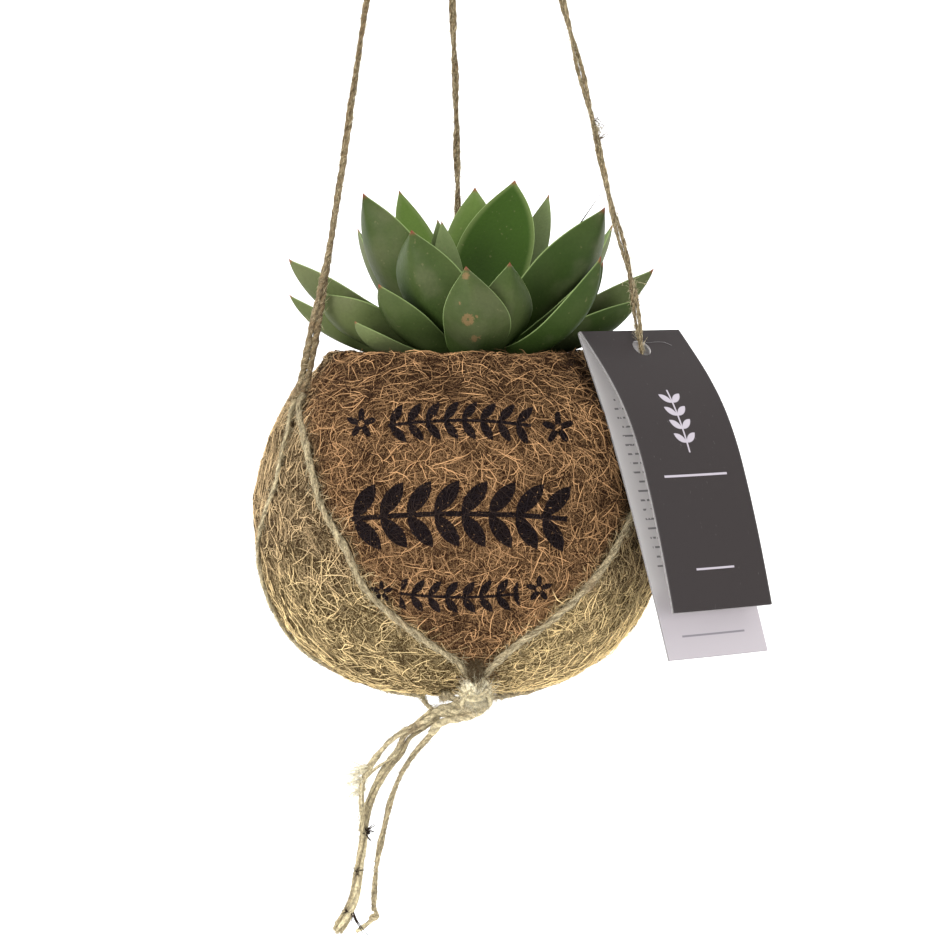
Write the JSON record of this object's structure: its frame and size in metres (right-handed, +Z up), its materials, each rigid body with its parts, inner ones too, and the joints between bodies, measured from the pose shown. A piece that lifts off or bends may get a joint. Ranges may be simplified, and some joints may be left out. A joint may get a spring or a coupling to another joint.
{
  "type": "hanging coir ball planter with succulent",
  "caption": "Ball-shaped coir pot with a succulent rosette, slung in jute twine from a top loop, with a folded card tag on one string.",
  "frame": {"origin": "where the top loop bears on the hook it hangs from", "axes": "+Z up along the hanging line, -Y the front that the viewer faces, +X to the viewer's right"},
  "size_m": [0.1924, 0.1565, 0.5463],
  "materials": {
    "coir": "rough matted coir fibre, warm brown",
    "soil": "dark crumbly potting soil",
    "leaf": "satin fleshy green leaf with pointed tips",
    "jute": "hairy twisted jute twine, pale straw",
    "card": "matt printed card, charcoal front leaf and pale grey back leaf"
  },
  "bodies": {
    "root": {"coir_pot": "coir", "soil": "soil", "succulent": "leaf", "bottom_knot": "jute", "top_loop": "jute", "swing_tag": "card", "string_left": "jute", "string_right": "jute", "string_back": "jute", "strand_front_left": "jute", "strand_side_left": "jute", "strand_front_right": "jute", "strand_side_right": "jute", "strand_back_left": "jute", "strand_back_right": "jute", "tail_main": "jute", "tail_left": "jute", "tail_thin": "jute", "tail_end_knot": "jute"}
  },
  "joints": []
}
